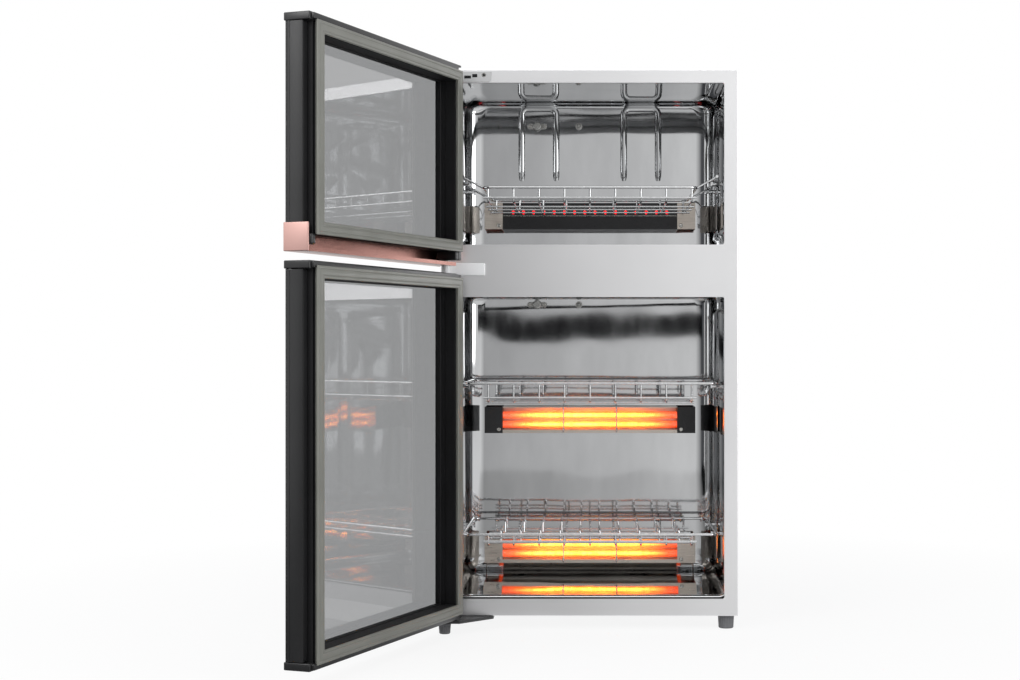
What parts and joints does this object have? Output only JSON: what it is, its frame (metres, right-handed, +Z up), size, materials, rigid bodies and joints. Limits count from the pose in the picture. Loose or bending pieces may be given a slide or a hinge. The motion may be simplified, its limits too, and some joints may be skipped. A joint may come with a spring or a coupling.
{
  "type": "dish sterilizer cabinet",
  "caption": "Tall two-chamber dish sterilizer cabinet with steel liners, wire racks, quartz heaters and glazed doors hinged at the left, standing open.",
  "frame": {"origin": "centre of the base panel underside, in the middle of the cabinet body", "axes": "+Z up, -Y out of the front of the cabinet, +X to the right seen from the front; the doors hang on the -X side"},
  "size_m": [0.5835, 0.7681, 0.813],
  "materials": {
    "galvanised_sheet": "galvanised",
    "screw_steel": "zinc plated",
    "case_paint": "satin powder coat",
    "heater_steel": "pressed sheet",
    "quartz": "fused quartz",
    "hinge_black": "satin black",
    "board": "solder mask",
    "black_plastic": "moulded",
    "foot_rubber": "matte",
    "front_steel": "satin",
    "filament": "glowing resistance wire",
    "rack_chrome": "plated wire",
    "door_black": "black anodised",
    "bush_nylon": "nylon",
    "seal_rubber": "soft magnetic seal",
    "door_glass": "grey tinted, tempered",
    "insulation_wool": "mineral wool felt",
    "polished_liner": "mirror polished",
    "sensor_metal": "satin",
    "heater_black": "heat-resistant black",
    "hinge_silver": "satin silver",
    "transformer_iron": "varnished laminations",
    "rose_gold": "rose gold anodised"
  },
  "bodies": {
    "cabinet": {"back_panel": "galvanised_sheet", "back_panel_screws": "screw_steel", "base_panel": "case_paint", "bottom_heater_brackets": "heater_steel", "bottom_heater_reflector": "heater_steel", "bottom_heater_tubes": "quartz", "bottom_hinge_bracket": "hinge_black", "bottom_hinge_pin": "screw_steel", "control_board": "board", "cord_gland": "black_plastic", "foot_back_left": "foot_rubber", "foot_back_right": "foot_rubber", "foot_front_right": "foot_rubber", "foot_hinge_side": "foot_rubber", "front_frame": "front_steel", "heater_filaments": "filament", "heater_guards": "rack_chrome", "heater_screws": "screw_steel", "hinge_screws": "screw_steel", "lower_insulation": "insulation_wool", "lower_liner_back": "polished_liner", "lower_liner_wrap": "polished_liner", "lower_probe": "sensor_metal", "lower_rack_pegs": "rack_chrome", "lower_thermostat": "sensor_metal", "mid_heater_brackets": "heater_black", "mid_heater_reflector": "heater_steel", "mid_heater_tubes": "quartz", "mid_hinge_bracket": "hinge_silver", "mid_hinge_pin": "screw_steel", "mid_shelf": "galvanised_sheet", "outer_case": "case_paint", "sensor_screws": "screw_steel", "top_hinge_bracket": "hinge_silver", "top_hinge_pin": "screw_steel", "transformer": "transformer_iron", "upper_heater_brackets": "heater_steel", "upper_heater_housing": "heater_black", "upper_heater_tubes": "quartz", "upper_liner_back": "polished_liner", "upper_liner_wrap": "polished_liner", "upper_probe": "sensor_metal", "upper_rack_pegs": "rack_chrome", "upper_thermostat": "sensor_metal"},
    "upper_door": {"upper_door_bushes": "bush_nylon", "upper_door_cap": "door_black", "upper_door_frame": "door_black", "upper_door_gasket": "seal_rubber", "upper_door_glass": "door_glass", "upper_door_handle": "rose_gold", "upper_door_handle_ends": "rose_gold"},
    "lower_door": {"lower_door_bottom_cap": "door_black", "lower_door_bushes": "bush_nylon", "lower_door_frame": "door_black", "lower_door_gasket": "seal_rubber", "lower_door_glass": "door_glass", "lower_door_top_cap": "door_black"},
    "upper_rack": {"upper_bowl_rack": "rack_chrome"},
    "middle_rack": {"lower_bowl_rack": "rack_chrome"},
    "bottom_rack": {"plate_rack": "rack_chrome"}
  },
  "joints": [
    {"name": "upper_door_swing", "type": "hinge", "parent": "cabinet", "child": "upper_door", "pos_m": [-0.208, -0.1965, 0.65], "axis": [0, 0, -1], "range_deg": [-110.5, 5]},
    {"name": "lower_door_swing", "type": "hinge", "parent": "cabinet", "child": "lower_door", "pos_m": [-0.208, -0.1965, 0.25], "axis": [0, 0, -1], "range_deg": [-110.5, 5]},
    {"name": "upper_rack_lift", "type": "slide", "parent": "cabinet", "child": "upper_rack", "axis": [0, 0, 1], "range_m": [0, 0.02]},
    {"name": "middle_rack_lift", "type": "slide", "parent": "cabinet", "child": "middle_rack", "axis": [0, 0, 1], "range_m": [0, 0.02]},
    {"name": "bottom_rack_lift", "type": "slide", "parent": "cabinet", "child": "bottom_rack", "axis": [0, 0, 1], "range_m": [0, 0.02]}
  ]
}
